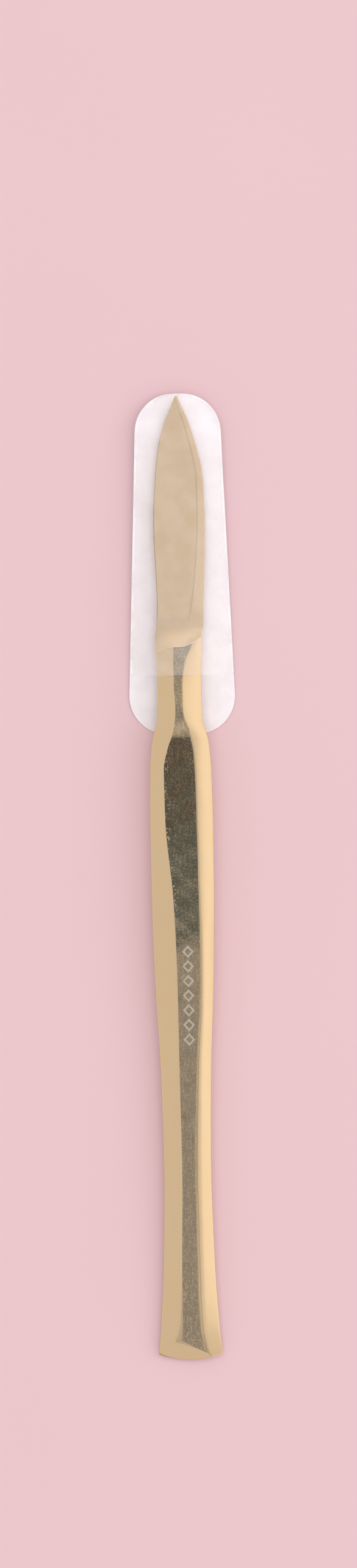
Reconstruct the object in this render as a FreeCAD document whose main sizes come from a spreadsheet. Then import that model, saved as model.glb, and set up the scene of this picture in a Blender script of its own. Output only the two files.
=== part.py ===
import FreeCAD, Part
import os
import Sketcher

# A double-ended manicure tool and its slip-on blade guard, in millimetres.
#
# The tool is one polished steel forging: a flared pusher at one end, a faceted handle, a thin neck
# and a spear-shaped knife blade at the other end.  The guard is a flat pocket of two plastic
# leaves, welded together round the sides and the top, that slips over the blade.
#
# Frame: the tool lies on the ground back of its handle, so the table is Z = 0 and the front faces
# up.  Y runs along the tool, to the blade's tip at +Y, and X is to the right seen from the front.
# The origin is on the back of the handle, halfway along the tool.

CLEAR = 3.0           # how far a cutting profile reaches past the metal that it removes
SAME_PLACE = 0.01     # two heights or lengths closer than this are the same

# Single dimensions
DIMENSIONS = {
    "length": 125.0,               # pusher edge to blade tip
    "pusher_arc_radius": 12.0,     # the pusher's edge, seen from the front
    "pusher_bevel_length": 1.9,    # ground bevel on the front of the pusher's edge
    "pusher_bevel_foot": 0.92,     # height of that bevel at the edge
    "pusher_bevel_head": 1.80,     # and where it meets the front facet
    "blade_middle": 2.5,           # height of the blade's middle plane over the table
    "spine_break": 0.3,            # broken corner of the spine, as a share of half its thickness
    "cutting_edge": 0.05,          # half thickness left at the sharpened edge
    "guard_shift": 0.35,           # the guard sits a little to the right of the tool's axis
    "guard_tilt": 2.0,             # degrees, from the table up towards the tip
    "guard_lift": 0.03,            # gap under the lower end of the back sheet
    "guard_bottom": 81.2,          # lower end of the back sheet, from the pusher edge
    "guard_top": 125.4,            # closed end of the guard, from the pusher edge
    "guard_bottom_half_width": 7.05,
    "guard_top_half_width": 5.4,
    "guard_bottom_radius": 5.0,
    "guard_top_radius": 5.0,
    "sheet_thickness": 0.22,
    "film_thickness": 0.2,
    "film_mouth": 88.9,            # straight open end of the front film, from the pusher edge
}

# Sections of the handle and the neck, from the pusher's edge upwards.  Each is an eight-sided bar:
# a flat facet in front, one at the back, and two sloping flats each side that meet at a blunt edge.
# from_end, half_width, facet_left, facet_right, front, back, edge (half height of the blunt edge)
BAR_COLUMNS = ("from_end", "half_width", "facet_left", "facet_right", "front", "back", "edge")
PUSHER_AND_HANDLE = {
    "pusher_edge": (-0.3, 4.22, 2.10, 2.20, 1.55, 0.42, 0.20),
    "pusher_flare": (5.0, 3.75, 1.15, 1.50, 2.20, 0.05, 0.28),
    "pusher_root": (12.0, 3.35, 1.00, 1.30, 2.85, -0.15, 0.50),
    "handle_waist": (25.0, 3.05, 0.75, 1.25, 3.45, -0.15, 0.82),
    "handle_lower": (37.0, 3.25, 0.86, 1.55, 3.90, -0.15, 1.00),
    "handle_middle": (48.0, 3.74, 0.92, 2.10, 4.39, -0.15, 1.22),
    "handle_upper": (60.0, 4.03, 1.30, 2.15, 4.82, -0.15, 1.35),
    "handle_widest": (70.0, 4.07, 2.15, 2.10, 4.98, -0.15, 1.38),
    "handle_top": (76.5, 3.96, 2.28, 2.00, 5.00, -0.15, 1.38),
    "shoulder_crest": (81.0, 3.50, 1.15, 1.27, 4.94, 0.38, 1.25),
}
SHOULDER = {
    "shoulder_foot": (83.1, 2.93, 0.66, 0.58, 4.70, 0.46, 0.84),
}
NECK = {
    "neck_lower": (84.5, 2.88, 0.60, 0.38, 4.60, 0.50, 0.70),
    "neck_middle": (87.5, 2.83, 0.74, 0.34, 4.35, 0.65, 0.52),
    "neck_upper": (90.5, 2.88, 0.76, 0.72, 4.14, 0.86, 0.62),
    "neck_crest": (92.8, 2.96, 0.60, 1.50, 4.00, 1.00, 0.95),
}

# Sections of the blade, from the foot of the plunge ramp to the tip.  The blade is a wedge: thick
# at the spine on the left, thinner at the ridge where the cutting bevel starts on the right.
# from_end, spine (to the left), edge (to the right), bevel, half_spine, half_ridge
BLADE_COLUMNS = ("from_end", "spine", "edge", "bevel", "half_spine", "half_ridge")
BLADE_FOOT = {
    "blade_foot": (95.2, -2.86, 3.22, 1.95, 0.70, 0.41),
}
BLADE = {
    "blade_heel": (98.2, -2.74, 3.34, 1.58, 0.70, 0.385),
    "blade_lower": (101.5, -2.84, 3.48, 1.28, 0.70, 0.345),
    "blade_belly": (108.5, -3.05, 3.65, 0.96, 0.68, 0.28),
    "blade_upper": (114.5, -2.72, 3.47, 0.86, 0.60, 0.225),
    "point_lower": (118.5, -2.22, 2.68, 0.77, 0.50, 0.21),
    "point_middle": (121.5, -1.37, 1.77, 0.66, 0.36, 0.185),
    "point_upper": (123.6, -0.50, 0.92, 0.46, 0.24, 0.15),
    "blade_tip": (125.0, 0.05, 0.35, 0.12, 0.12, 0.08),
}

# Sections of the hollow inside the front film, from its mouth to the closed end: flat over the
# tool, and sloping down both sides to the weld.
# from_end, foot (half width at the weld), flat (half width of the top), rise (over the sheet)
HOLLOW_COLUMNS = ("from_end", "foot", "flat", "rise")
HOLLOW = {
    "hollow_mouth": (88.9, 5.95, 2.9, 3.96),
    "hollow_crest": (93.0, 5.80, 3.1, 3.75),
    "hollow_belly": (109.0, 5.25, 3.25, 2.45),
    "hollow_upper": (121.5, 4.50, 2.5, 1.55),
    "hollow_corner": (124.0, 3.15, 1.4, 1.25),
    "hollow_end": (125.2, 0.75, 0.55, 1.05),
}

doc = FreeCAD.newDocument("manicure_tool")
sizes = doc.addObject("Spreadsheet::Sheet", "sizes")


def add_cell(row, alias, value):
    """One driving dimension: its name in column A and its value, with an alias, in column B."""
    sizes.set(f"A{row}", alias)
    sizes.set(f"B{row}", str(value))
    sizes.setAlias(f"B{row}", alias)


def fill_sheet():
    """Writes the single dimensions, then every section's row of sizes."""
    cells = dict(DIMENSIONS)
    for sections, columns in (
        (PUSHER_AND_HANDLE, BAR_COLUMNS),
        (SHOULDER, BAR_COLUMNS),
        (NECK, BAR_COLUMNS),
        (BLADE_FOOT, BLADE_COLUMNS),
        (BLADE, BLADE_COLUMNS),
        (HOLLOW, HOLLOW_COLUMNS),
    ):
        for section, values in sections.items():
            for column, value in zip(columns, values):
                cells[f"{section}_{column}"] = value
    for row, (alias, value) in enumerate(cells.items(), start=1):
        add_cell(row, alias, value)
    doc.recompute()


def cell(name):
    """The expression that reads one cell."""
    return f"sizes.{name}"


def along(name):
    """The Y of a distance that is measured from the pusher's edge."""
    return f"(sizes.{name} - sizes.length / 2)"


def new_body(label):
    body = doc.addObject("PartDesign::Body", label)
    body.Label = label
    return body


def origin_plane(body, role):
    return next(item for item in body.Origin.OriginFeatures if item.Role == role)


def new_sketch(body, name, role):
    sketch = body.newObject("Sketcher::SketchObject", name)
    sketch.AttachmentSupport = [(origin_plane(body, role), "")]
    sketch.MapMode = "FlatFace"
    return sketch


def draw_polygon(sketch, corners):
    """A closed polygon whose corners are pairs of expressions, each held by two distances."""
    count = len(corners)
    start = [FreeCAD.Vector(1, 0, 0)]
    turn = FreeCAD.Rotation(FreeCAD.Vector(0, 0, 1), 360 / count)
    while len(start) < count:
        start.append(turn.multVec(start[-1]))
    lines = [Part.LineSegment(a, b) for a, b in zip(start, start[1:] + start[:1])]
    sketch.addGeometry(lines)
    for index in range(count):
        following = (index + 1) % count
        sketch.addConstraint(Sketcher.Constraint("Coincident", index, 2, following, 1))
    for index, (across, up) in enumerate(corners):
        for kind, place, expression in (
            ("DistanceX", start[index].x, across),
            ("DistanceY", start[index].y, up),
        ):
            held = sketch.addConstraint(Sketcher.Constraint(kind, -1, 1, index, 1, place))
            sketch.setExpression(f"Constraints[{held}]", expression)


def section_sketch(body, name, distance, corners):
    """A cross-section: a polygon in X and Z, placed along Y."""
    sketch = new_sketch(body, name, "XZ_Plane")
    draw_polygon(sketch, corners)
    sketch.setExpression("AttachmentOffset.Base.z", f"-{distance}")
    return sketch


def profile_sketch(body, name, corners):
    """A side view: a polygon in Y and Z, on the middle plane."""
    sketch = new_sketch(body, name, "YZ_Plane")
    draw_polygon(sketch, corners)
    return sketch


def loft(body, kind, name, sections, ruled):
    """Adds or removes the solid that runs through a row of cross-sections."""
    feature = body.newObject(kind, name)
    feature.Profile = sections[0]
    feature.Sections = [(section, [""]) for section in sections[1:]]
    feature.Ruled = ruled
    doc.recompute()
    return feature


def cut_through(body, name, sketch, side, length=None):
    """A cut along a sketch's normal: right through both ways, or one way by a length."""
    before = body.Shape.Volume
    pocket = body.newObject("PartDesign::Pocket", name)
    pocket.Profile = sketch
    pocket.SideType = side
    if length is None:
        pocket.Type = "ThroughAll"
    else:
        pocket.Length = length
    doc.recompute()
    if body.Shape.Volume > before - SAME_PLACE:
        raise RuntimeError(f"{name} removed nothing")


def bar_section(body, name):
    """One section of the handle or the neck."""
    left = f"-{cell(name + '_facet_left')}"
    right = cell(name + "_facet_right")
    side = cell(name + "_half_width")
    front = cell(name + "_front")
    back = cell(name + "_back")
    middle = f"({front} + {back}) / 2"
    edge = cell(name + "_edge")
    corners = [
        (right, front),
        (left, front),
        (f"-{side}", f"{middle} + {edge}"),
        (f"-{side}", f"{middle} - {edge}"),
        (left, back),
        (right, back),
        (side, f"{middle} - {edge}"),
        (side, f"{middle} + {edge}"),
    ]
    return section_sketch(body, name, along(name + "_from_end"), corners)


def blade_section(body, name):
    """One section of the blade: a wedge from the spine to the ridge, then the cutting bevel."""
    spine = cell(name + "_spine")
    edge = cell(name + "_edge")
    ridge = f"{edge} - {cell(name + '_bevel')}"
    half_spine = cell(name + "_half_spine")
    half_ridge = cell(name + "_half_ridge")
    broken = f"{half_spine} * {cell('spine_break')}"
    middle = cell("blade_middle")
    thin = cell("cutting_edge")
    corners = [
        (ridge, f"{middle} + {half_ridge}"),
        (f"{spine} + {broken}", f"{middle} + {half_spine}"),
        (spine, f"{middle} + {half_spine} - {broken}"),
        (spine, f"{middle} - {half_spine} + {broken}"),
        (f"{spine} + {broken}", f"{middle} - {half_spine}"),
        (ridge, f"{middle} - {half_ridge}"),
        (edge, f"{middle} - {thin}"),
        (edge, f"{middle} + {thin}"),
    ]
    return section_sketch(body, name, along(name + "_from_end"), corners)


def grind_back(body):
    """Grinds the back of the handle to the flat that the tool lies on, at Z = 0."""
    sketch = new_sketch(body, "ground_back", "XY_Plane")
    reach = f"(sizes.length / 2 + {CLEAR})"
    width = f"(sizes.handle_widest_half_width + {CLEAR})"
    draw_polygon(
        sketch,
        [(width, reach), (f"-{width}", reach), (f"-{width}", f"-{reach}"), (width, f"-{reach}")],
    )
    cut_through(body, "grinding_of_back", sketch, "One side", CLEAR)


def bevel_pusher(body):
    """Grinds the bevel that runs along the front of the pusher's edge."""
    end = "-sizes.length / 2"
    head = f"{end} + sizes.pusher_bevel_length"
    sketch = profile_sketch(
        body,
        "pusher_bevel",
        [
            (head, f"sizes.pusher_bevel_head + {CLEAR}"),
            (end, f"sizes.pusher_bevel_head + {CLEAR}"),
            (end, "sizes.pusher_bevel_foot"),
            (head, "sizes.pusher_bevel_head"),
        ],
    )
    cut_through(body, "grinding_of_bevel", sketch, "Symmetric")


def round_pusher(body):
    """Cuts the pusher's edge to its arc."""
    radius = DIMENSIONS["pusher_arc_radius"]
    end = -DIMENSIONS["length"] / 2
    side = PUSHER_AND_HANDLE["pusher_edge"][1] + CLEAR
    chord = end + radius - (radius**2 - side**2) ** 0.5
    left = FreeCAD.Vector(-side, chord, 0)
    right = FreeCAD.Vector(side, chord, 0)
    lower_left = FreeCAD.Vector(-side, end - CLEAR, 0)
    lower_right = FreeCAD.Vector(side, end - CLEAR, 0)
    sketch = new_sketch(body, "pusher_arc", "XY_Plane")
    arc, right_side, bottom, left_side = sketch.addGeometry(
        [
            Part.Arc(left, FreeCAD.Vector(0, end, 0), right),
            Part.LineSegment(right, lower_right),
            Part.LineSegment(lower_right, lower_left),
            Part.LineSegment(lower_left, left),
        ]
    )
    hold = sketch.addConstraint
    loop = (arc, right_side, bottom, left_side)
    for line, following in zip(loop, loop[1:] + loop[:1]):
        hold(Sketcher.Constraint("Coincident", line, 2, following, 1))
    hold(Sketcher.Constraint("Vertical", right_side))
    hold(Sketcher.Constraint("Vertical", left_side))
    hold(Sketcher.Constraint("Horizontal", bottom))
    hold(Sketcher.Constraint("PointOnObject", arc, 3, -2))
    bound = (
        (Sketcher.Constraint("Radius", arc, radius), "sizes.pusher_arc_radius"),
        (
            Sketcher.Constraint("DistanceY", -1, 1, arc, 3, end + radius),
            "sizes.pusher_arc_radius - sizes.length / 2",
        ),
        (
            Sketcher.Constraint("DistanceX", -1, 1, right_side, 1, side),
            f"sizes.pusher_edge_half_width + {CLEAR}",
        ),
        (
            Sketcher.Constraint("DistanceX", -1, 1, left_side, 2, -side),
            f"-sizes.pusher_edge_half_width - {CLEAR}",
        ),
        (
            Sketcher.Constraint("DistanceY", -1, 1, bottom, 1, end - CLEAR),
            f"-sizes.length / 2 - {CLEAR}",
        ),
    )
    for constraint, expression in bound:
        sketch.setExpression(f"Constraints[{hold(constraint)}]", expression)
    cut_through(body, "cut_of_arc", sketch, "Symmetric")


def make_tool():
    """The forging: five lofts, each starting on the last section of the one before it."""
    body = new_body("tool_forging")
    handle = [bar_section(body, name) for name in PUSHER_AND_HANDLE]
    shoulder = [handle[-1]] + [bar_section(body, name) for name in SHOULDER]
    neck = [shoulder[-1]] + [bar_section(body, name) for name in NECK]
    plunge = [neck[-1]] + [blade_section(body, name) for name in BLADE_FOOT]
    blade = [plunge[-1]] + [blade_section(body, name) for name in BLADE]
    loft(body, "PartDesign::AdditiveLoft", "handle", handle, False)
    loft(body, "PartDesign::AdditiveLoft", "shoulder", shoulder, True)
    loft(body, "PartDesign::AdditiveLoft", "neck", neck, False)
    loft(body, "PartDesign::AdditiveLoft", "plunge", plunge, True)
    loft(body, "PartDesign::AdditiveLoft", "blade", blade, False)
    grind_back(body)
    bevel_pusher(body)
    round_pusher(body)
    return body


def guard_body(label):
    """A body of the guard, whose own XY plane is the tilted underside of the back sheet.

    Its own origin is in the middle of the back sheet's lower end.
    """
    body = new_body(label)
    lower_end = sizes.guard_bottom - sizes.length / 2
    tilt = FreeCAD.Rotation(FreeCAD.Vector(1, 0, 0), sizes.guard_tilt)
    place = FreeCAD.Vector(sizes.guard_shift, lower_end, sizes.guard_lift)
    body.Placement = FreeCAD.Placement(place, tilt)
    return body


def up_guard(name):
    """The distance of a place from the back sheet's lower end."""
    return f"(sizes.{name} - sizes.guard_bottom)"


def half_width_at(name):
    """The guard's half width: it narrows evenly from its lower end to its top."""
    taper = "(sizes.guard_bottom_half_width - sizes.guard_top_half_width)"
    return f"sizes.guard_bottom_half_width - {taper} * {up_guard(name)} / {up_guard('guard_top')}"


def pad_outline(body, name, lower, height, thickness):
    """A plate with the guard's outline, from a place along it up to its closed end."""
    sketch = new_sketch(body, name, "XY_Plane")
    sketch.setExpression("AttachmentOffset.Base.z", height)
    wide = half_width_at(lower)
    narrow = half_width_at("guard_top")
    draw_polygon(
        sketch,
        [
            (narrow, up_guard("guard_top")),
            (f"-({narrow})", up_guard("guard_top")),
            (f"-({wide})", up_guard(lower)),
            (wide, up_guard(lower)),
        ],
    )
    pad = body.newObject("PartDesign::Pad", name + "_plate")
    pad.Profile = sketch
    pad.setExpression("Length", thickness)
    doc.recompute()
    return pad


def round_corners(body, name, base, place, radius):
    """Rounds the two upright corners of a plate that are at one place along the guard."""
    corners = [
        f"Edge{number}"
        for number, edge in enumerate(base.Shape.Edges, start=1)
        if all(abs(vertex.Y - place) < SAME_PLACE for vertex in edge.Vertexes)
        and abs(edge.Vertexes[0].X - edge.Vertexes[-1].X) < SAME_PLACE
    ]
    if len(corners) != 2:
        raise RuntimeError(f"{name} found {len(corners)} corners")
    fillet = body.newObject("PartDesign::Fillet", name)
    fillet.Base = (base, corners)
    fillet.setExpression("Radius", radius)
    doc.recompute()
    return fillet


def make_back_sheet():
    """The milky back leaf: a tapering tongue, rounded at both ends."""
    body = guard_body("guard_back_sheet")
    plate = pad_outline(body, "back_outline", "guard_bottom", "0", "sizes.sheet_thickness")
    top = sizes.guard_top - sizes.guard_bottom
    rounded = round_corners(body, "top_corners", plate, top, "sizes.guard_top_radius")
    round_corners(body, "bottom_corners", rounded, 0, "sizes.guard_bottom_radius")
    return body


def hollow_section(body, name, skin):
    """Corners of one section of the front film's hollow, or of its outer skin."""
    foot = f"({cell(name + '_foot')} + {skin})"
    flat = f"({cell(name + '_flat')} + {skin} / 2)"
    low = cell("sheet_thickness")
    high = f"{low} + {cell(name + '_rise')} + {skin}"
    return [(flat, high), (f"-{flat}", high), (f"-{foot}", low), (foot, low)]


def make_front_film():
    """The clear front leaf: a flat weld rim, and a hollow that stands over the blade and neck."""
    body = guard_body("guard_front_film")
    plate = pad_outline(body, "rim_outline", "film_mouth", "sizes.sheet_thickness", "sizes.film_thickness")
    top = sizes.guard_top - sizes.guard_bottom
    round_corners(body, "rim_corners", plate, top, "sizes.guard_top_radius")
    skins = (
        ("PartDesign::AdditiveLoft", "skin", "sizes.film_thickness", "0"),
        ("PartDesign::SubtractiveLoft", "hollow", "0", "sizes.film_thickness"),
    )
    for kind, label, skin, inset in skins:
        sections = []
        for name in HOLLOW:
            distance = up_guard(name + "_from_end")
            if name == "hollow_end":
                distance = f"({distance} + {skin})"
            sections.append(
                section_sketch(body, f"{label}_{name}", distance, hollow_section(body, name, skin))
            )
        loft(body, kind, label, sections, True)
    return body


def check_and_write(bodies):
    """Stops on any failed object or bad shape, then writes one file for each sub-part."""
    for item in doc.Objects:
        if {"Invalid", "Error"} & set(item.State):
            raise RuntimeError(f"{item.Name} failed: {item.State}")
    for body in bodies:
        if body.Shape.isNull() or not body.Shape.isValid() or len(body.Shape.Solids) != 1:
            raise RuntimeError(f"{body.Label} is not one valid solid")
    os.makedirs("parts", exist_ok=True)
    for body in bodies:
        body.Shape.exportStep(f"parts/{body.Label}.step")
        box = body.Shape.BoundBox
        print(
            f"{body.Label}: {body.Shape.Volume:.1f} mm3,"
            f" X {box.XMin:.2f} to {box.XMax:.2f},"
            f" Y {box.YMin:.2f} to {box.YMax:.2f},"
            f" Z {box.ZMin:.2f} to {box.ZMax:.2f}"
        )


fill_sheet()
check_and_write([make_tool(), make_back_sheet(), make_front_film()])
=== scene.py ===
import math

import bpy
import numpy as np
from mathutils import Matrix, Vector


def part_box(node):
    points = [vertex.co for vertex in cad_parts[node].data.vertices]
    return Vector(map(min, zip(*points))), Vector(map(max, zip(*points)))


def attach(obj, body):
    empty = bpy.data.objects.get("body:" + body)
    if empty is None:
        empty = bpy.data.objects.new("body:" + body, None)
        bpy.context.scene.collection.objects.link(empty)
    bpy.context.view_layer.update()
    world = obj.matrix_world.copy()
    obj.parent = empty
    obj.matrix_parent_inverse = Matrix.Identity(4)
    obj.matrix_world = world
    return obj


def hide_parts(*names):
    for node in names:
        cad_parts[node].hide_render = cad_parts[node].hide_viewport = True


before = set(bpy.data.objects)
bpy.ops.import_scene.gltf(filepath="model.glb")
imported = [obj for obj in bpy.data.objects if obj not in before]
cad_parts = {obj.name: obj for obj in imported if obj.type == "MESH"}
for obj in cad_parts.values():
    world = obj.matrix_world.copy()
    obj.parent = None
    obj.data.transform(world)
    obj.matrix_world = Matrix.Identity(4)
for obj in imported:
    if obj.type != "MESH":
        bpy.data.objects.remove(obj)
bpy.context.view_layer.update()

# A gold-finished manicure tool, lying front up, with its blade tucked into a two-leaf plastic guard.
# Lengths in the tables are millimetres, and s is the distance from the pusher's edge towards the
# blade's tip.  X is to the right, Y towards the tip and Z up, as in the CAD frame.

MM = 0.001
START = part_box("tool_forging")[0][1] / MM   # Y of the pusher's edge, where s is 0

# --- the tool's form ------------------------------------------------------------------------------

MIDDLE = 2.5                # height of the middle plane of the neck and the blade
ARC_RADIUS = 12.0           # the pusher's edge, seen from the front
ARC_REACH = 6.0             # the rows of the mesh follow that arc up to here
FACET_SOFTNESS = 0.035      # how softly the front facet meets the flat on its left
RIDGE_SOFTNESS = 0.024      # and the blade's cutting bevel
FACET_CROWN = 0.012         # a hand-ground facet is a little crowned
FACET_TILT = 0.042          # and it leans a little to the left
LEAN_START, LEAN_FULL = 2, 14   # the flat beside it is lowered to meet it, growing between these
LEFT_BULGE = 0.022          # how far the flat beside it bulges, as a share of the half thickness
CUTTING_EDGE = 0.05

# s, half width, facet left, facet right, front, back, half height of the left and right sides
BAR = np.array([
    (-0.3, 4.22, 1.75, 2.10, 1.55, 0.42, 0.20, 0.20),
    (5.0, 3.75, 0.98, 1.62, 2.25, 0.02, 0.25, 0.25),
    (12.0, 3.35, 0.96, 1.52, 2.84, -0.15, 0.50, 0.50),
    (25.0, 3.05, 0.75, 1.42, 3.41, -0.15, 0.85, 0.85),
    (37.0, 3.25, 0.86, 1.75, 3.88, -0.15, 1.05, 1.05),
    (48.0, 3.74, 0.92, 2.25, 4.39, -0.15, 1.30, 1.30),
    (54.0, 3.93, 1.05, 2.32, 4.70, -0.15, 1.35, 1.35),
    (60.0, 4.03, 1.30, 2.16, 4.82, -0.15, 1.42, 1.42),
    (70.0, 4.07, 2.15, 2.04, 4.98, -0.15, 1.45, 1.45),
    (76.5, 3.96, 2.24, 1.94, 5.00, -0.15, 1.45, 1.45),
    (79.3, 3.76, 1.70, 1.72, 4.98, 0.12, 1.40, 1.40),
    (80.7, 3.55, 1.20, 1.42, 4.96, 0.34, 1.35, 1.35),
    (81.2, 3.42, 1.04, 1.22, 4.92, 0.40, 1.28, 1.28),
    (82.7, 3.02, 0.72, 0.74, 4.74, 0.45, 0.95, 0.95),
    (83.1, 2.93, 0.66, 0.58, 4.70, 0.46, 0.86, 0.86),
    (84.5, 2.88, 0.60, 0.36, 4.60, 0.50, 0.70, 0.70),
    (87.5, 2.83, 0.74, 0.33, 4.35, 0.65, 0.50, 0.50),
    (90.5, 2.88, 0.76, 0.72, 4.14, 0.86, 0.75, 0.55),
    (93.0, 2.96, 0.72, 1.68, 4.00, 1.00, 0.88, 0.92),
    (96.0, 2.96, 0.72, 1.95, 4.00, 1.00, 0.88, 0.95),
])
# s, spine, edge, bevel, half thickness at the spine and at the ridge
BLADE = np.array([
    (90.0, -2.90, 2.86, 1.95, 0.70, 0.41),
    (93.6, -3.12, 2.98, 1.95, 0.70, 0.41),
    (95.2, -2.86, 3.22, 1.95, 0.70, 0.41),
    (98.2, -2.74, 3.34, 1.58, 0.70, 0.385),
    (101.5, -2.84, 3.48, 1.28, 0.70, 0.345),
    (108.5, -3.05, 3.65, 0.96, 0.68, 0.28),
    (114.5, -2.72, 3.47, 0.86, 0.60, 0.225),
    (118.5, -2.22, 2.68, 0.77, 0.50, 0.21),
    (121.5, -1.37, 1.77, 0.66, 0.36, 0.185),
    (123.6, -0.50, 0.92, 0.46, 0.24, 0.15),
    (125.0, 0.05, 0.35, 0.12, 0.12, 0.08),
])
# The crest of the plunge ramp, where the neck breaks down to the blade: x, s
CREST = np.array([(-3.1, 91.9), (-0.9, 92.5), (0.5, 92.55), (1.8, 93.0), (3.0, 93.8)])
CREST_ROW = 92.8
CREST_REACH = 2.2
RAMP_FOOT = 95.0
RAMP_SAG = 0.7              # how hollow the ramp is, as the grinding wheel leaves it
SHARPENING = (92.6, 95.2)   # the cutting bevel grows to its full depth between these
NECK_START, BLADE_START = 90.5, 93.6


def curve(places, values):
    """A smooth curve through points that never overshoots them, as a function."""
    places = np.asarray(places, float)
    values = np.asarray(values, float)
    step = np.diff(places)
    rise = np.diff(values) / step
    slope = np.concatenate([rise[:1], np.zeros(len(rise) - 1), rise[-1:]])
    for k in range(1, len(rise)):
        if rise[k - 1] * rise[k] > 0:
            before = 2 * step[k] + step[k - 1]
            after = step[k] + 2 * step[k - 1]
            slope[k] = (before + after) / (before / rise[k - 1] + after / rise[k])

    def at(place):
        place = np.asarray(place, float)
        k = np.clip(np.searchsorted(places, place, side="right") - 1, 0, len(step) - 1)
        t = np.clip((place - places[k]) / step[k], 0, 1)
        start = (1 + 2 * t) * (1 - t) ** 2 * values[k] + t * (1 - t) ** 2 * step[k] * slope[k]
        end = t * t * (3 - 2 * t) * values[k + 1] - t * t * (1 - t) * step[k] * slope[k + 1]
        return start + end

    return at


def columns_of(table):
    return [curve(table[:, 0], table[:, k]) for k in range(1, table.shape[1])]


bar_half, bar_left, bar_right, bar_front, bar_back, bar_side_left, bar_side_right = columns_of(BAR)
blade_spine, blade_edge, blade_bevel, blade_half_spine, blade_half_ridge = columns_of(BLADE)
crest_at = curve(CREST[:, 0], CREST[:, 1])
# The right edge of the front facet is polished over, more so towards the pusher.
softness_right = curve([0, 12, 25, 37, 48, 60, 85], [0.14, 0.26, 0.31, 0.28, 0.17, 0.07, 0.06])
bulge_right = curve([40, 56], [0.015, 0.045])
grain_right = curve(
    [0.9, 5, 10, 20, 30, 40, 50, 60, 70, 78, 82],
    [1.95, 1.15, 0.95, 0.98, 1.15, 1.48, 2.08, 2.0, 1.92, 1.7, 1.1],
)


def soft_min(a, b, softness):
    """The lower of two surfaces, with the crease between them rounded."""
    gap = np.maximum(softness - np.abs(a - b), 0) / softness
    return np.minimum(a, b) - gap * gap * softness / 4


def ramp(value, start, end):
    return np.clip((value - start) / (end - start), 0, 1)


def ease(value, start, end):
    t = ramp(value, start, end)
    return t * t * (3 - 2 * t)


def outline(s):
    """Left and right edges of the whole tool at s."""
    share = ease(s, NECK_START, BLADE_START)
    left = -bar_half(s) * (1 - share) + blade_spine(s) * share
    right = bar_half(s) * (1 - share) + blade_edge(s) * share
    return left, right


def flank(x, edge, facet, low, high, bulge):
    """A slightly convex slope from the tool's edge up to a facet, carried on past the facet."""
    t = (x - edge) / (facet - edge)
    inside = np.minimum(t, 1)
    rise = high - low
    slope_end = rise - 4 * bulge
    convex = 4 * bulge * inside * (1 - inside)
    return low + rise * inside + convex + slope_end * np.maximum(t - 1, 0)


NARROWEST_FACET = 0.2
FULL_CROWN_WIDTH = 4        # a narrower facet has a lower crown


def bar_height(x, s):
    """Half height of the handle and neck over their own middle, at x and s."""
    left, right = outline(s)
    half = (bar_front(s) - bar_back(s)) / 2
    facet_left = -bar_left(s)
    facet_right = bar_right(s)
    width = np.maximum(facet_right - facet_left, NARROWEST_FACET)
    off_middle = (2 * x - facet_left - facet_right) / width
    crown = FACET_CROWN * off_middle ** 2 * np.minimum(width / FULL_CROWN_WIDTH, 1)
    facet = half - crown - FACET_TILT * (facet_right - x)
    leaned = FACET_TILT * width * ease(s, LEAN_START, LEAN_FULL)
    left_side = flank(x, left, facet_left, bar_side_left(s), half, LEFT_BULGE * half) - leaned
    right_side = flank(x, right, facet_right, bar_side_right(s), half, bulge_right(s) * half)
    return soft_min(soft_min(facet, left_side, FACET_SOFTNESS), right_side, softness_right(s))


def blade_face(x, s):
    """Half thickness of the blade's wide face, carried on past the ridge."""
    ridge = blade_edge(s) - blade_bevel(s)
    share = (x - blade_spine(s)) / (ridge - blade_spine(s))
    return blade_half_spine(s) + (blade_half_ridge(s) - blade_half_spine(s)) * share


def blade_height(x, s):
    """Half thickness of the blade: a wedge from the spine to the ridge, then the cutting bevel."""
    edge = blade_edge(s)
    share = (x - edge + blade_bevel(s)) / blade_bevel(s)
    bevel = blade_half_ridge(s) + (CUTTING_EDGE - blade_half_ridge(s)) * share
    return soft_min(blade_face(x, s), bevel, RIDGE_SOFTNESS)


def body_height(x, s):
    """Half height of the whole tool: the plunge ramp leads from the neck down to the blade."""
    crest = crest_at(x)
    down = ramp(s, crest, RAMP_FOOT)
    brink = bar_height(x, np.minimum(s, crest))
    face = blade_face(x, s)
    plunge = brink + (face - brink) * (down + RAMP_SAG * down * (1 - down))
    sharpened = ease(s, SHARPENING[0], SHARPENING[1])
    return plunge + (blade_height(x, s) - face) * sharpened


WAVE_DEPTH = 0.004
# share of the depth, turns along s and across x, and start
WAVES = ((1, 0.9, 1.7, 0), (1, 1.63, -1.1, 1.3), (0.6, 2.9, 2.3, 0.4), (0.5, 0.37, 3.1, 2.2))


def hand_wave(x, s):
    """The slight waviness that hand polishing leaves, a few thousandths of a millimetre."""
    return WAVE_DEPTH * sum(
        share * np.sin(along * s + across * x + start) for share, along, across, start in WAVES
    )


# The pusher's front bevel is ground askew: it starts further up on the left.
BEVEL_LINE = ((-1.95, 2.9), (2.23, 0.87))
BEVEL_SLOPE = 0.42


def bevel_line(x):
    """Where the pusher's bevel meets the front facet."""
    (x_left, s_left), (x_right, s_right) = BEVEL_LINE
    return s_left + (s_right - s_left) * (x - x_left) / (x_right - x_left)


def pusher_bevel(x, s):
    line = bevel_line(x)
    return bar_front(line) + BEVEL_SLOPE * (s - line)


# On the right of the handle's narrower half the grain fades out over a longer way than elsewhere.
GRAIN_FADE = 0.3
GRAIN_FADE_ENDS = (42, 58)
HANDLE_END = 82


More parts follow.
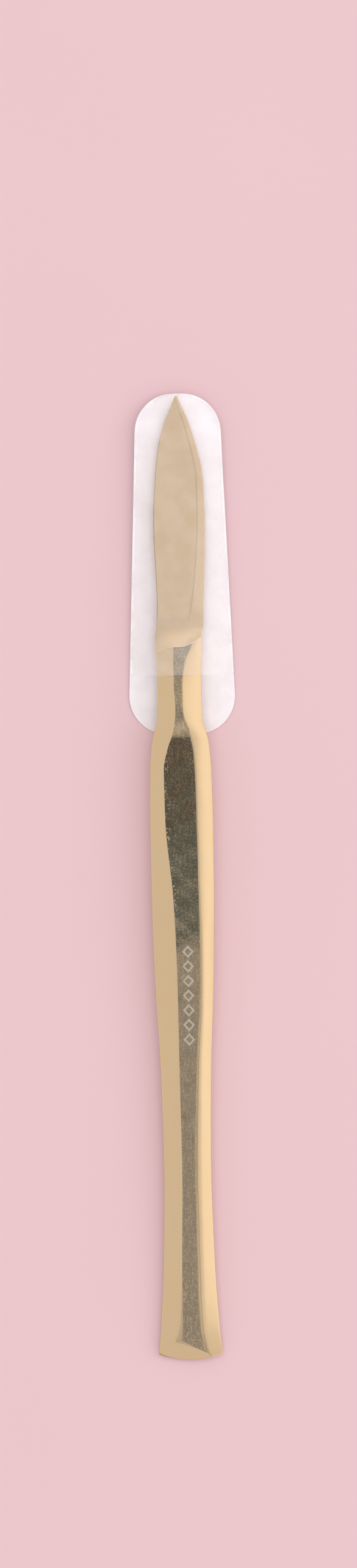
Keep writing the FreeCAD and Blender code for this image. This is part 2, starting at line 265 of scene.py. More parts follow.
def ground_depth(x, s):
    """How far a point lies inside the ground front facet, in millimetres, negative outside it."""
    limit = np.where(s < HANDLE_END, grain_right(s), bar_right(s))
    fade = GRAIN_FADE + (1 - GRAIN_FADE) * ease(s, GRAIN_FADE_ENDS[0], GRAIN_FADE_ENDS[1])
    across = np.minimum(x + bar_left(s), (limit - x) * fade)
    return np.minimum(across, np.minimum(s - bevel_line(x), crest_at(x) - s))


def middle_at(s):
    return np.where(s < NECK_START, (bar_front(s) + bar_back(s)) / 2, MIDDLE)


def roll(distance, radius):
    """How far a surface has rolled over at a distance from its edge."""
    d = np.clip(distance / radius, 0, 1)
    return radius * (1 - np.sqrt(np.maximum(1 - (1 - d) ** 2, 0)))


roll_left_at = curve([0, 95, 118, 125], [0.04, 0.04, 0.04, 0.03])
roll_right_at = curve([0, 90, 94.5, 125], [0.04, 0.04, 0.03, 0.02])
END_ROLL = 0.14
WAVE_START = 3              # the waves fade in over this length from the pusher's edge
WAVE_FLATTENING = 0.75      # and lose this share of their depth on the blade
BLADE_WAVE_ENDS = (90, 94)
BEVEL_SOFTNESS = 0.05       # how softly the pusher's bevel meets the front
BACK_SOFTNESS = 0.02        # and the ground flat of the back meets its slopes


def front_and_back(x, s, from_end, left, right):
    """Heights of the front and the back of the tool over the table."""
    flattened = 1 - WAVE_FLATTENING * ease(s, BLADE_WAVE_ENDS[0], BLADE_WAVE_ENDS[1])
    wave = hand_wave(x, s) * ease(from_end, 0, WAVE_START) * flattened
    rolled = roll(x - left, roll_left_at(s)) + roll(right - x, roll_right_at(s)) + roll(from_end, END_ROLL)
    half = body_height(x, s) + wave - rolled
    middle = middle_at(s)
    front = soft_min(middle + half, pusher_bevel(x, s) - rolled, BEVEL_SOFTNESS)
    back = -soft_min(-(middle - half), 0.0, BACK_SOFTNESS)
    return front, back


# Where the rows of the tool's mesh lie, closer together where the form turns: from, to, step
FIRST_ROWS = (0.0, 0.006, 0.03, 0.07, 0.14)
ROW_SPANS = (
    (0.25, 4.0, 0.12),
    (4.0, 80.0, 0.4),
    (80.0, 84.0, 0.1),
    (84.0, 90.6, 0.3),
    (90.6, 96.0, 0.08),
    (96.0, 118.0, 0.4),
    (118.0, 124.8, 0.2),
)
LAST_ROWS = (124.85, 124.93, 125.0)


def row_places():
    return np.concatenate([FIRST_ROWS, *(np.arange(*span) for span in ROW_SPANS), LAST_ROWS])


EDGE_TURNS = np.radians([0, 20, 40, 65, 90])    # the columns round a rolled edge
NEAR_GUIDE = np.array([-1, -0.55, -0.25, 0, 0.25, 0.55, 1]) * 0.16
FLANK_COLUMNS, FACET_COLUMNS = 12, 16
ROOMY = 3.0                 # a row narrower than this squeezes its columns together


def column_places(left, right, guide_left, guide_right, radius_left, radius_right):
    """X of every column of one row: closer together at both edges and at both facet lines."""
    squeeze = min(1.0, (right - left) / ROOMY)
    near_left = guide_left + NEAR_GUIDE * squeeze
    near_right = guide_right + NEAR_GUIDE * squeeze
    from_left = left + radius_left * (1 - np.cos(EDGE_TURNS))
    from_right = right - radius_right * (1 - np.cos(EDGE_TURNS[::-1]))
    left_flank = np.linspace(from_left[-1], near_left[0], FLANK_COLUMNS)[1:-1]
    facet = np.linspace(near_left[-1], near_right[0], FACET_COLUMNS)[1:-1]
    right_flank = np.linspace(near_right[-1], from_right[0], FLANK_COLUMNS)[1:-1]
    return np.concatenate([from_left, left_flank, near_left, facet, near_right, right_flank, from_right])


GUIDE_CHANGE = (93.0, 95.2)
BLADE_GUIDE = 0.35          # where the left guide runs on the blade, as a share of its width


def guide_lines(s):
    """The two lines along the tool that its columns gather at: facet edges, then the blade's ridge."""
    left, right = outline(s)
    share = ease(s, GUIDE_CHANGE[0], GUIDE_CHANGE[1])
    guide_left = -bar_left(s) * (1 - share) + (left + BLADE_GUIDE * (right - left)) * share
    guide_right = bar_right(s) * (1 - share) + (blade_edge(s) - blade_bevel(s)) * share
    return guide_left, guide_right


WIDEST_ROLL = 0.15          # a rolled edge takes up at most this share of a row


def tool_grid():
    """X, s, front and back of the whole tool, as rows by columns."""
    rows = row_places()
    xs, places, fronts, backs = [], [], [], []
    for row in rows:
        left, right = (float(edge) for edge in outline(row))
        limit = (right - left) * WIDEST_ROLL
        radius_left = min(float(roll_left_at(row)), limit)
        radius_right = min(float(roll_right_at(row)), limit)
        guide_left, guide_right = (float(guide) for guide in guide_lines(row))
        x = column_places(left, right, guide_left, guide_right, radius_left, radius_right)
        sag = (ARC_RADIUS - np.sqrt(ARC_RADIUS**2 - x**2)) * (1 - ramp(row, 0, ARC_REACH)) ** 2
        near_crest = 1 - ease(np.abs(row - CREST_ROW), 0, CREST_REACH)
        s = row + sag + (crest_at(x) - CREST_ROW) * near_crest
        edge_left, edge_right = outline(s)
        x = edge_left + (x - left) * (edge_right - edge_left) / (right - left)
        front, back = front_and_back(x, s, row, edge_left, edge_right)
        xs.append(x)
        places.append(s)
        fronts.append(front)
        backs.append(back)
    return np.array(xs), np.array(places), np.array(fronts), np.array(backs)


def mesh_object(name, points, faces, material):
    """A smooth-shaded mesh from points in millimetres."""
    mesh = bpy.data.meshes.new(name)
    mesh.from_pydata((np.asarray(points) * MM).tolist(), [], faces)
    mesh.polygons.foreach_set("use_smooth", [True] * len(mesh.polygons))
    mesh.materials.append(material)
    mesh.validate()
    mesh.update()
    made = bpy.data.objects.new(name, mesh)
    bpy.context.scene.collection.objects.link(made)
    return made


def ring_faces(rows, count):
    """Quads that join each ring of points to the next."""
    faces = []
    for row in range(rows - 1):
        here, there = row * count, (row + 1) * count
        for k in range(count):
            after = (k + 1) % count
            faces.append((here + k, here + after, there + after, there + k))
    return faces


SIDE_BULGE = 0.02           # how far the tool's narrow sides bulge
UNGROUND = -1.0             # the depth given to points well outside the ground facet


def make_tool(material):
    """The forging, as rings of points: front from left to right, side, back, and side again."""
    x, s, front, back = tool_grid()
    y = s + START
    side = np.array([1 / 3, 2 / 3])
    rings, grounds, pasts = [], [], []
    for row in range(len(x)):
        depth = ground_depth(x[row], s[row])
        off = np.full(len(side), UNGROUND)
        grounds.append(np.concatenate([depth, off, depth[::-1], off]))
        past = s[row] - crest_at(x[row])
        past_right = np.full(len(side), past[-1])
        past_left = np.full(len(side), past[0])
        pasts.append(np.concatenate([past, past_right, past[::-1], past_left]))
        top = np.stack([x[row], y[row], front[row]], axis=1)
        low = np.stack([x[row], y[row], back[row]], axis=1)[::-1]
        right_side = top[-1] + side[:, None] * (low[0] - top[-1]) + [SIDE_BULGE, 0, 0]
        left_side = low[-1] + side[:, None] * (top[0] - low[-1]) - [SIDE_BULGE, 0, 0]
        rings.append(np.concatenate([top, right_side, low, left_side]))
    count = len(rings[0])
    columns = x.shape[1]
    faces = [tuple(reversed(face)) for face in ring_faces(len(rings), count)]
    for ring, flip in ((0, False), (len(rings) - 1, True)):
        first = ring * count
        top = [first + k for k in range(columns)]
        low = [first + 2 * columns + len(side) - 1 - k for k in range(columns)]
        cap = [(top[k], top[k + 1], low[k + 1], low[k]) for k in range(columns - 1)]
        cap.append((top[-1], *range(first + columns, first + columns + len(side)), low[-1]))
        cap.append((low[0], *range(first + 2 * columns + len(side), first + count), top[0]))
        faces += [tuple(reversed(face)) for face in cap] if flip else cap
    tool = mesh_object("tool_gold_forging", np.concatenate(rings), faces, material)
    for name, values in (("ground_depth", grounds), ("past_crest", pasts)):
        attribute = tool.data.attributes.new(name, "FLOAT", "POINT")
        attribute.data.foreach_set("value", np.concatenate(values).astype(np.float32))
    return tool


# --- the guard's form -----------------------------------------------------------------------------

GUARD_BOTTOM = 81.2         # lower end of the back sheet
GUARD_TOP = 125.4           # closed end
FILM_MOUTH = 88.9           # straight open end of the front film
GUARD_SHIFT = 0.35
GUARD_TILT = math.radians(2.0)
GUARD_LIFT = 0.03
SHEET_THICKNESS = 0.22
FILM_THICKNESS = 0.12
BOTTOM_HALF_WIDTH = 7.05
TOP_HALF_WIDTH = 5.40
TOP_RADIUS = 5.0
WELD_WIDTH = 0.45
FILM_CLOSING = 0.32         # the film comes down to its weld over this length, past the blade's tip
FILM_LIFT = 0.05            # the film's rim lies this far over the back sheet

film_rise = curve([88.9, 93.0, 109.0, 121.5, 125.2], [4.02, 3.84, 2.50, 1.62, 1.22])
film_fullness = curve([88.9, 97.0, 109.0, 121.5, 125.5], [3.6, 3.9, 4.4, 3.8, 3.0])
NARROWEST_FOOT = 0.05
WRINKLE_DEPTH = 0.02
WRINKLE_ENDS = (96, 118)    # the wrinkles grow to their full depth between these


def guard_place(x, s, height):
    """A point of the guard, whose plane is tilted up towards the tip, in the tool's frame."""
    along = s - GUARD_BOTTOM
    y = GUARD_BOTTOM + START + along * math.cos(GUARD_TILT) - height * math.sin(GUARD_TILT)
    z = GUARD_LIFT + along * math.sin(GUARD_TILT) + height * math.cos(GUARD_TILT)
    return np.stack(np.broadcast_arrays(x + GUARD_SHIFT, y, z), axis=-1)


def guard_half_width(s, inset):
    """Half width of the guard's outline at s, moved in by an inset, with its rounded top."""
    share = (s - GUARD_BOTTOM) / (GUARD_TOP - GUARD_BOTTOM)
    straight = BOTTOM_HALF_WIDTH + (TOP_HALF_WIDTH - BOTTOM_HALF_WIDTH) * share - inset
    radius = TOP_RADIUS - inset
    depth = np.clip((GUARD_TOP - inset - s) / radius, 0, 1)
    return straight - radius * (1 - np.sqrt(1 - (1 - depth) ** 2))


def film_height(x, s, foot):
    """How far the front film stands over the back sheet."""
    across = np.clip(np.abs(x) / np.maximum(foot, NARROWEST_FOOT), 0, 1)
    end = ramp(GUARD_TOP - WELD_WIDTH * 0.5 - s, 0, FILM_CLOSING)
    closing = np.sqrt(1 - (1 - end) ** 2)
    wrinkled = WRINKLE_DEPTH * ease(s, WRINKLE_ENDS[0], WRINKLE_ENDS[1])
    wrinkle = wrinkled * np.sin(2.1 * s + 1.4 * x) * np.sin(1.3 * x + 0.5)
    return (film_rise(s) + wrinkle) * (1 - across ** film_fullness(s)) * closing


FILM_INSET = 0.02           # the film's edge lies this far inside the back sheet's
FILM_COLUMNS = 49
FILM_CORNER, FILM_END = 121.0, 124.6    # the rows get closer from these on
LAST_GAP = 0.03


def make_film(material):
    """The clear front leaf: flat along its weld, arched over the neck and the blade."""
    rows = np.concatenate([
        np.arange(FILM_MOUTH, FILM_CORNER, 0.5),
        np.arange(FILM_CORNER, FILM_END, 0.18),
        np.linspace(FILM_END, GUARD_TOP - LAST_GAP, 16),
    ])
    across = np.sin(np.linspace(-1, 1, FILM_COLUMNS) * math.pi / 2)
    points = []
    for s in rows:
        outer = float(guard_half_width(s, FILM_INSET))
        foot = max(outer - WELD_WIDTH, NARROWEST_FOOT)
        inner = across * foot
        rim = np.array([outer, (outer + foot) / 2])
        x = np.concatenate([-rim, inner, rim[::-1]])
        height = SHEET_THICKNESS + FILM_LIFT + film_height(x, s, foot)
        points.append(guard_place(x, np.full_like(x, s), height))
    count = len(points[0])
    faces = []
    for row in range(len(rows) - 1):
        for k in range(count - 1):
            here = row * count + k
            faces.append((here, here + 1, here + count + 1, here + count))
    film = mesh_object("guard_clear_film", np.concatenate(points), faces, material)
    skin = film.modifiers.new("skin", "SOLIDIFY")
    skin.thickness = FILM_THICKNESS * MM
    skin.offset = 1
    film.visible_shadow = False     # so clear that it casts no shadow on the sheet behind it
    return film


def tube(name, path, radius_across, radius_up, sides, material):
    """A closed tube of oval section along a path of points in millimetres."""
    path = np.asarray(path)
    forward = np.gradient(path, axis=0)
    forward /= np.linalg.norm(forward, axis=1)[:, None]
    up = np.array([0, -math.sin(GUARD_TILT), math.cos(GUARD_TILT)])
    out = np.cross(forward, up)
    out /= np.linalg.norm(out, axis=1)[:, None]
    points = []
    for k, place in enumerate(path):
        for side in range(sides):
            turn = 2 * math.pi * side / sides
            points.append(
                place + out[k] * radius_across[k] * math.cos(turn) + up * radius_up[k] * math.sin(turn)
            )
    faces = ring_faces(len(path), sides)
    faces.append(tuple(reversed(range(sides))))
    faces.append(tuple(range((len(path) - 1) * sides, len(path) * sides)))
    return mesh_object(name, points, faces, material)


BEAD_INSET = 0.17           # the bead's middle line lies this far inside the guard's outline
BEAD_STEP = 0.4
BEAD_CORNER_POINTS = 26
BEAD_SIDES = 10
BEAD_ACROSS, BEAD_UP = 0.12, 0.05       # radii of its oval section


def make_weld(material):
    """The melted bead that joins the two leaves, from the mouth round the top and back."""
    straight_end = GUARD_TOP - TOP_RADIUS
    side = np.arange(FILM_MOUTH, straight_end, BEAD_STEP)
    turn = np.linspace(0, math.pi / 2, BEAD_CORNER_POINTS)
    radius = TOP_RADIUS - BEAD_INSET
    corner_s = straight_end + radius * np.sin(turn)
    half = float(guard_half_width(straight_end, BEAD_INSET))
    corner_x = half - radius * (1 - np.cos(turn))
    x = np.concatenate([guard_half_width(side, BEAD_INSET), corner_x])
    s = np.concatenate([side, corner_s])
    x = np.concatenate([x, -x[::-1]])
    s = np.concatenate([s, s[::-1]])
    height = SHEET_THICKNESS + FILM_LIFT
    path = guard_place(x, s, height)
    wobble = 1 + 0.16 * np.sin(1.9 * s + x) + 0.1 * np.sin(4.3 * s + 0.7)
    bead = tube("guard_weld_bead", path, BEAD_ACROSS * wobble, BEAD_UP * wobble, BEAD_SIDES, material)
    bead.visible_shadow = False
    return bead


# --- materials ------------------------------------------------------------------------------------


class Nodes:
    """A short way to build a node tree."""

    def __init__(self, tree):
        self.tree = tree
        tree.nodes.clear()

    def add(self, kind, inputs=None, **settings):
        node = self.tree.nodes.new(kind)
        for name, value in settings.items():
            setattr(node, name, value)
        for name, value in (inputs or {}).items():
            socket = node.inputs[name]
            if isinstance(value, bpy.types.NodeSocket):
                self.tree.links.new(value, socket)
            else:
                socket.default_value = value
        return node

    def math(self, operation, first, second=0.0, clamp=False):
        node = self.add("ShaderNodeMath", {0: first, 1: second}, operation=operation, use_clamp=clamp)
        return node.outputs[0]

    def between(self, value, low, high, out_low, out_high):
        """Maps a value smoothly from one range to another."""
        node = self.add(
            "ShaderNodeMapRange",
            {"Value": value, "From Min": low, "From Max": high, "To Min": out_low, "To Max": out_high},
            interpolation_type="SMOOTHSTEP",
        )
        return node.outputs["Result"]

    def noise(self, vector, scale, detail=2.0, roughness=0.5):
        node = self.add(
            "ShaderNodeTexNoise",
            {"Vector": vector, "Scale": scale, "Detail": detail, "Roughness": roughness},
        )
        return node.outputs["Fac"]

    def stretched(self, vector, scale, turn):
        node = self.add("ShaderNodeMapping", {"Vector": vector, "Scale": scale, "Rotation": turn})
        return node.outputs["Vector"]

    def blend(self, share, first, second):
        """A number between two others."""
        node = self.add("ShaderNodeMix", {0: share, 2: first, 3: second}, data_type="FLOAT")
        return node.outputs[0]

    def mix(self, share, first, second):
        """A colour between two others."""
        node = self.add(
            "ShaderNodeMix", {"Factor": share}, data_type="RGBA", clamp_factor=True
        )
        for socket, value in ((node.inputs[6], first), (node.inputs[7], second)):
            if isinstance(value, bpy.types.NodeSocket):
                self.tree.links.new(value, socket)
            else:
                socket.default_value = (*value, 1)
        return node.outputs[2]


def new_material(name):
    """An empty node material and its tree."""
    material = bpy.data.materials.new(name)
    material.use_nodes = True
    return material, Nodes(material.node_tree)


GOLD = (0.84, 0.615, 0.37)
GOLD_WARM = (0.85, 0.61, 0.36)
# The ground facet's base colour is darkened towards this, partly for its grain and partly as painted shade
# that deepens its dark reflection.
GRAIN_AND_SHADE_DARK = (0.29, 0.25, 0.18)
CREST_HIGHLIGHT = (0.93, 0.77, 0.56)  # a painted highlight along the crest, standing in for the glint of its sharp edge
PLUNGE_END = (95.2, 97.2)   # the satin grinding of the plunge ramp fades out between these
GRAIN_LEVEL = 1.1           # middle of the grain's height map
ETCHED = (0.72, 0.66, 0.56)
MOTIF_START = 40.7          # the etched row of diamonds, along the front facet
MOTIF_PITCH = 1.9
MOTIF_COUNT = 7
MOTIF_MIDDLE = 0.5
MOTIF_HALF_LENGTH = 0.86
MOTIF_HALF_WIDTH = 0.78


def motif(nodes, place):
    """A plain row of outlined diamonds, as a mask."""
    x, y, z = nodes.add("ShaderNodeSeparateXYZ", {0: place}).outputs
    count = nodes.math("DIVIDE", nodes.math("SUBTRACT", y, (MOTIF_START + START) * MM), MOTIF_PITCH * MM)
    along = nodes.math("ABSOLUTE", nodes.math("SUBTRACT", nodes.math("FRACT", count), 0.5))
    across = nodes.math("ABSOLUTE", nodes.math("SUBTRACT", x, MOTIF_MIDDLE * MM))
    reach = nodes.math(
        "ADD",
        nodes.math("MULTIPLY", along, MOTIF_PITCH / MOTIF_HALF_LENGTH),
        nodes.math("DIVIDE", across, MOTIF_HALF_WIDTH * MM),
    )
    ring = nodes.math(
        "MULTIPLY",
        nodes.between(reach, 0.50, 0.60, 0.0, 1.0),
        nodes.between(reach, 0.92, 1.02, 1.0, 0.0),
    )
    started = nodes.math("GREATER_THAN", count, 0.0)
    ended = nodes.math("LESS_THAN", count, float(MOTIF_COUNT))
    up = nodes.math("GREATER_THAN", z, MIDDLE * MM)
    for part in (started, ended, up):
        ring = nodes.math("MULTIPLY", ring, part)
    return ring


PITS_ALONG = (54, 60, 76, 80)           # s where the pits start, are full, thin out and end
PITS_DEPTH = (0.02, 0.10, 0.25, 0.75)   # the same, by the distance from the facet's left edge


def rise_and_fall(nodes, value, stops, unit=1.0, origin=0.0):
    """1 between the two middle stops, falling to 0 at the outer ones."""
    start, full, thinning, end = ((stop + origin) * unit for stop in stops)
    return nodes.math(
        "MULTIPLY",
        nodes.between(value, start, full, 0.0, 1.0),
        nodes.between(value, thinning, end, 1.0, 0.0),
    )


def pits(nodes, place, depth, speckle):
    """Tiny bright pits that the grinding left along the left edge of the front facet, as a mask."""
    x, y, z = nodes.add("ShaderNodeSeparateXYZ", {0: place}).outputs
    near_edge = rise_and_fall(nodes, depth, PITS_DEPTH)
    along = rise_and_fall(nodes, y, PITS_ALONG, MM, START)
    left = nodes.math("LESS_THAN", x, 0.0)
    front = nodes.math("GREATER_THAN", z, MIDDLE * MM)
    mask = nodes.between(speckle, 0.58, 0.66, 0.0, 1.0)
    for part in (near_edge, along, left, front):
        mask = nodes.math("MULTIPLY", mask, part)
    return mask


# Noise scales across, along and through the tool, and how far each is turned
LEFT_STREAKS = ((5400, 900, 3000), (0, 0, 0.42))
RIGHT_STREAKS = ((4800, 800, 3000), (0, 0, -0.38))
BRUSHED = ((9000, 700, 6000), (0, 0, 0))
SPECKLE_SCALE, CLOUD_SCALE = 3800.0, 260.0
GRAIN_HEIGHT = 0.0000065    # metres
BRUSHED_SHARE = 0.05
COARSE_PUSHER = (8, 16)     # the grain gets finer between these,
COARSE_NECK = (81, 84)      # and coarser again between these
COARSE_NECK_LEVEL = 0.7
# How far the ground facet's colour is darkened, painted shade and grain together: most, least, and more
# where the grain is coarse.
DARKEST_GRAIN_AND_SHADE, LIGHTEST_GRAIN_AND_SHADE = 0.64, 0.22
DARKER_WHERE_COARSE = 0.08
SMOOTH_ROUGH = (0.15, 0.19)
GROUND_ROUGH = (0.07, 0.12)
PLUNGE_ROUGH, PIT_ROUGH, LIP_ROUGH, ETCHED_ROUGH = 0.30, 0.55, 0.5, 0.6


def gold_steel():
    """Gold-coated steel: polished slopes, and ground facets with a coarser criss-cross grain."""
    material, nodes = new_material("gold_steel")
    place = nodes.add("ShaderNodeTexCoord").outputs["Object"]
    x, along, _ = nodes.add("ShaderNodeSeparateXYZ", {0: place}).outputs
    depth = nodes.add("ShaderNodeAttribute", attribute_name="ground_depth").outputs["Fac"]
    past_crest = nodes.add("ShaderNodeAttribute", attribute_name="past_crest").outputs["Fac"]
    ground = nodes.between(depth, -0.02, 0.06, 0.0, 1.0)

    left_grain = nodes.noise(nodes.stretched(place, *LEFT_STREAKS), 1.0, 3.0, 0.6)
    right_grain = nodes.noise(nodes.stretched(place, *RIGHT_STREAKS), 1.0, 3.0, 0.6)
    speckle = nodes.noise(place, SPECKLE_SCALE, 3.0, 0.65)
    brushed = nodes.noise(nodes.stretched(place, *BRUSHED), 1.0, 2.0, 0.5)
    grain = nodes.math("ADD", nodes.math("MAXIMUM", left_grain, right_grain), speckle)
    pusher_start, pusher_end = ((s + START) * MM for s in COARSE_PUSHER)
    neck_start, neck_end = ((s + START) * MM for s in COARSE_NECK)
    coarse = nodes.math(
        "ADD",
        nodes.between(along, pusher_start, pusher_end, 1.0, 0.0),
        nodes.between(along, neck_start, neck_end, 0.0, COARSE_NECK_LEVEL),
    )
    strength = nodes.math("MULTIPLY", ground, nodes.math("ADD", coarse, 1.0))
    level_grain = nodes.math("SUBTRACT", grain, GRAIN_LEVEL)
    height = nodes.math(
        "ADD",
        nodes.math("MULTIPLY", level_grain, strength),
        nodes.math("MULTIPLY", brushed, BRUSHED_SHARE),
    )
    bump = nodes.add("ShaderNodeBump", {"Height": height, "Strength": 1.0, "Distance": GRAIN_HEIGHT})

    cloud = nodes.noise(place, CLOUD_SCALE, 3.0, 0.5)
    etched = nodes.math("MULTIPLY", motif(nodes, place), nodes.between(speckle, 0.30, 0.45, 0.35, 0.8))
    # Painted shade: the ground facet's base colour is darkened, less where its grain stands up. The
    # darkening reaches past the facet's right edge to put out a bright line there.
    right = nodes.between(x, 0.0, 0.4 * MM, 0.0, 1.0)
    painted_shade_right = nodes.math("MULTIPLY", right, nodes.between(depth, -0.14, 0.05, 0.0, 1.0))
    darkened_reach = nodes.math("MAXIMUM", ground, painted_shade_right)
    deeper = nodes.math("ADD", nodes.math("MULTIPLY", coarse, DARKER_WHERE_COARSE), DARKEST_GRAIN_AND_SHADE)
    grain_share = nodes.between(grain, 0.92, 1.30, 0.0, 1.0)
    grain_and_painted_shade = nodes.math("MULTIPLY", darkened_reach, nodes.blend(grain_share, deeper, LIGHTEST_GRAIN_AND_SHADE))
    plunge_start, plunge_end = ((s + START) * MM for s in PLUNGE_END)
    plunge = nodes.math(
        "MULTIPLY",
        nodes.between(past_crest, 0.0, 0.1, 0.0, 1.0),
        nodes.between(along, plunge_start, plunge_end, 1.0, 0.0),
    )
    # Painted highlight: a pale, slightly rougher line along the crest of the plunge ramp.
    crest_highlight = nodes.between(nodes.math("ABSOLUTE", past_crest), 0.03, 0.09, 0.8, 0.0)

    tone = nodes.mix(nodes.between(cloud, 0.35, 0.65, 0.0, 1.0), GOLD, GOLD_WARM)
    tone = nodes.mix(grain_and_painted_shade, tone, GRAIN_AND_SHADE_DARK)
    tone = nodes.mix(crest_highlight, tone, CREST_HIGHLIGHT)
    tone = nodes.mix(etched, tone, ETCHED)
    smooth_rough = nodes.between(cloud, 0.3, 0.7, *SMOOTH_ROUGH)
    ground_rough = nodes.between(speckle, 0.35, 0.65, *GROUND_ROUGH)
    rough = nodes.blend(ground, smooth_rough, ground_rough)
    rough = nodes.blend(plunge, rough, PLUNGE_ROUGH)
    rough = nodes.blend(pits(nodes, place, depth, speckle), rough, PIT_ROUGH)
    rough = nodes.blend(crest_highlight, rough, LIP_ROUGH)
    rough = nodes.blend(etched, rough, ETCHED_ROUGH)
    shader = nodes.add(
        "ShaderNodeBsdfPrincipled",
        {"Base Color": tone, "Metallic": 1.0, "Roughness": rough, "Normal": bump.outputs["Normal"]},
    )
    nodes.add("ShaderNodeOutputMaterial", {"Surface": shader.outputs[0]})
    return material


def plastic(name, low_tone, high_tone, alpha, rough, bump_scale, bump_depth):
    """Thin see-through plastic with faint cloudiness and a slightly uneven surface."""
    material, nodes = new_material(name)
    place = nodes.add("ShaderNodeTexCoord").outputs["Object"]
    cloud = nodes.noise(place, 420.0, 3.0, 0.55)
    tone = nodes.mix(nodes.between(cloud, 0.35, 0.65, 0.0, 1.0), low_tone, high_tone)
    waves = nodes.noise(nodes.stretched(place, bump_scale, (0, 0, 0.2)), 1.0, 2.0, 0.5)
    bump = nodes.add("ShaderNodeBump", {"Height": waves, "Strength": 1.0, "Distance": bump_depth})
    clear = nodes.between(cloud, 0.3, 0.7, alpha[0], alpha[1])
    shader = nodes.add(
        "ShaderNodeBsdfPrincipled",
        {
            "Base Color": tone,
            "Roughness": nodes.between(cloud, 0.3, 0.7, rough[0], rough[1]),
            "Alpha": clear,
            "IOR": 1.45,
            "Normal": bump.outputs["Normal"],
        },
    )
    nodes.add("ShaderNodeOutputMaterial", {"Surface": shader.outputs[0]})
    return material


def clear_film():
    return plastic(
        "clear_film", (0.86, 0.82, 0.82), (0.92, 0.88, 0.87), (0.06, 0.09), (0.22, 0.32),
        (220, 90, 220), 0.00003,
    )


def milky_sheet():
    return plastic(
        "milky_sheet", (0.815, 0.757, 0.785), (0.835, 0.777, 0.807), (0.88, 0.92), (0.38, 0.5),
        (150, 60, 150), 0.00001,
    )


def melted_rim():
    return plastic(
        "melted_rim", (0.97, 0.94, 0.95), (0.98, 0.96, 0.97), (0.12, 0.26), (0.25, 0.4),
        (900, 900, 900), 0.00001,
    )


# --- the pieces -----------------------------------------------------------------------------------

tool = make_tool(gold_steel())
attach(tool, "tool")
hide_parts("tool_forging")

film = make_film(clear_film())
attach(film, "guard")
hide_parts("guard_front_film")

weld = make_weld(melted_rim())
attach(weld, "guard")

back_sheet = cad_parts["guard_back_sheet"]
back_sheet.data.materials.clear()
back_sheet.data.materials.append(milky_sheet())

# --- floor, light and camera ----------------------------------------------------------------------

FLOOR_SIZE = 3.0
FLOOR_GAP = 0.00002
FLOOR_TONE = (0.512, 0.353, 0.370)
FLOOR_GLOW = 0.30           # the table glows a little, which keeps the shadows faint


def make_floor():
    material, nodes = new_material("pale_floor")
    place = nodes.add("ShaderNodeTexCoord").outputs["Object"]
    cloud = nodes.noise(place, 30.0, 2.0, 0.5)
    tone = nodes.mix(cloud, FLOOR_TONE, tuple(1.03 * part for part in FLOOR_TONE))
    shader = nodes.add(
        "ShaderNodeBsdfPrincipled",
        {
            "Base Color": tone,
            "Roughness": 0.75,
            "Specular IOR Level": 0.2,
            "Emission Color": tone,
            "Emission Strength": FLOOR_GLOW,
        },
    )
    nodes.add("ShaderNodeOutputMaterial", {"Surface": shader.outputs[0]})
    bpy.ops.mesh.primitive_plane_add(size=FLOOR_SIZE, location=(0, 0, -FLOOR_GAP))
    floor = bpy.context.object
    floor.name = "floor"
    floor.data.materials.append(material)


# Brightness of the room across the tool, by the angle from straight up: degrees, then red, green
# and blue.  The bands were tuned until each slope of the gold had its tone.
ACROSS = (
    (-90, 0.75, 0.75, 0.76),
    (-60, 0.75, 0.75, 0.75),
    (-18, 0.72, 0.72, 0.72),
    (2, 0.66, 0.66, 0.66),
    (6, 0.75, 0.75, 0.75),
    (11, 0.75, 0.75, 0.75),
    (14, 0.44, 0.44, 0.42),
    (18, 0.44, 0.44, 0.42),
    (21.5, 0.76, 0.76, 0.76),
    (25, 0.78, 0.77, 0.77),
    (38, 0.82, 0.81, 0.81),
    (46, 0.95, 0.94, 0.93),
    (55, 1.09, 1.07, 1.06),
    (68, 1.14, 1.12, 1.11),
    (80, 1.05, 1.04, 1.04),
    (90, 0.95, 0.95, 0.95),
)
# The same inside the dark strip overhead, by the angle along the tool.
ALONG = (
    (-90, 0.80, 0.80, 0.80),
    (-36, 0.78, 0.78, 0.78),
    (-26, 0.50, 0.52, 0.56),
    (-4.8, 0.51, 0.52, 0.56),
    (-3.9, 0.08, 0.14, 0.17),
    (-2.1, 0.09, 0.15, 0.18),
    (-1.2, 0.27, 0.29, 0.31),
    (-0.5, 0.27, 0.29, 0.31),
    (0, 0.12, 0.10, 0.095),
    (2.4, 0.12, 0.10, 0.095),
    (4.4, 0.41, 0.43, 0.47),
    (9.5, 0.43, 0.455, 0.49),
    (11.2, 0.72, 0.71, 0.70),
    (16, 0.80, 0.80, 0.80),
    (36, 1.0, 1.0, 1.0),
    (90, 0.95, 0.95, 0.95),
)
# How much brighter the room is towards the far end of the tool, and where across the room
FAR_END = ((-90, 1, 1, 1), (20, 1, 1, 1), (38, 1.32, 1.30, 1.30), (90, 1.25, 1.25, 1.25))
OVER_TOOL = ((-42, 0.0), (-28, 1.0), (22, 1.0), (36, 0.0))
STRIP = ((-13.5, 0.0), (-9.5, 1.0), (-0.8, 1.0), (3.2, 0.0))     # where across the room that strip lies


def by_angle(nodes, side, up, stops):
    """A colour ramp over the angle of a direction from straight up."""
    angle = nodes.math("ARCTAN2", side, up)
    place = nodes.math("ADD", nodes.math("DIVIDE", angle, math.pi), 0.5)
    ramp_node = nodes.add("ShaderNodeValToRGB", {"Fac": place})
    points = ramp_node.color_ramp.elements
    while len(points) < len(stops):
        points.new(1.0)
    for point, (degrees, *tone) in zip(points, stops):
        point.position = degrees / 180 + 0.5
        point.color = (*tone, 1)
    return ramp_node.outputs["Color"]


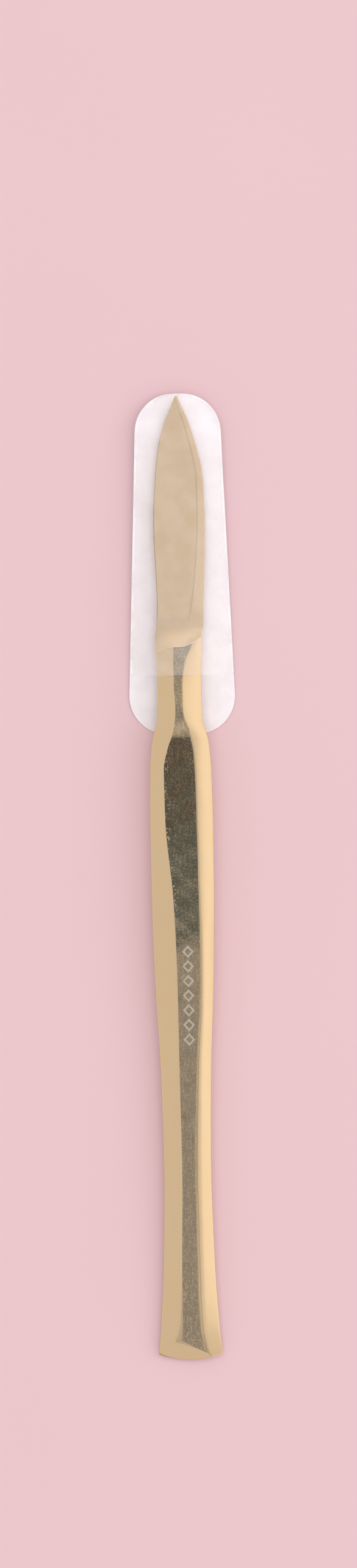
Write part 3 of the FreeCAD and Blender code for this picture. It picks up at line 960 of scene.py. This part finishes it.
def light_world():
    """A white room, brighter on the right, with a dark strip overhead where the camera stands."""
    world = bpy.data.worlds.new("studio")
    bpy.context.scene.world = world
    world.use_nodes = True
    nodes = Nodes(world.node_tree)
    direction = nodes.add("ShaderNodeTexCoord").outputs["Generated"]
    x, y, z = nodes.add("ShaderNodeSeparateXYZ", {0: direction}).outputs
    far_end = by_angle(nodes, y, z, FAR_END)
    over_tool = by_angle(nodes, x, z, [(degrees, level, level, level) for degrees, level in OVER_TOOL])
    room = nodes.add("ShaderNodeMix", {0: over_tool, 6: by_angle(nodes, x, z, ACROSS), 7: far_end},
                     data_type="RGBA", blend_type="MULTIPLY").outputs[2]
    strip = by_angle(nodes, y, z, ALONG)
    inside = by_angle(nodes, x, z, [(degrees, level, level, level) for degrees, level in STRIP])
    mixed = nodes.add("ShaderNodeMix", {0: inside, 6: room, 7: strip}, data_type="RGBA")
    background = nodes.add("ShaderNodeBackground", {"Color": mixed.outputs[2], "Strength": 1.0})
    nodes.add("ShaderNodeOutputWorld", {"Surface": background.outputs[0]})


def add_soft_box(name, place, width, length, power):
    """A soft box that faces the tool.  It lights the table but doesn't show in the gold."""
    data = bpy.data.lights.new(name, "AREA")
    data.shape = "RECTANGLE"
    data.size = width
    data.size_y = length
    data.energy = power
    light = bpy.data.objects.new(name, data)
    light.location = place
    light.rotation_euler = (-light.location).to_track_quat("-Z", "Y").to_euler()
    light.visible_glossy = False
    bpy.context.scene.collection.objects.link(light)


VIEW_HEIGHT = 203.2 * MM    # what the picture's height takes in, at the tool's middle plane
VIEW_CENTRE = (-0.33 * MM, 12.24 * MM)
VIEW_ROLL = math.radians(-1.0)
LENS = 150.0
SENSOR = 36.0


def add_camera():
    """Straight above, with a long lens."""
    data = bpy.data.cameras.new("camera")
    data.sensor_fit = "VERTICAL"
    data.sensor_height = SENSOR
    data.lens = LENS
    data.clip_start = 0.01
    data.clip_end = 20.0
    camera = bpy.data.objects.new("camera", data)
    camera.location = (*VIEW_CENTRE, LENS / SENSOR * VIEW_HEIGHT + MIDDLE * MM)
    camera.rotation_euler = (0, 0, VIEW_ROLL)
    bpy.context.scene.collection.objects.link(camera)
    bpy.context.scene.camera = camera


make_floor()
light_world()
add_soft_box("soft_box_above", (0.0, 0.1, 1.3), 0.9, 1.2, 8.0)
add_soft_box("soft_box_right", (0.55, 0.15, 0.6), 0.5, 0.8, 1.5)
add_camera()
bpy.context.scene.view_settings.view_transform = "Standard"
bpy.context.scene.view_settings.look = "None"
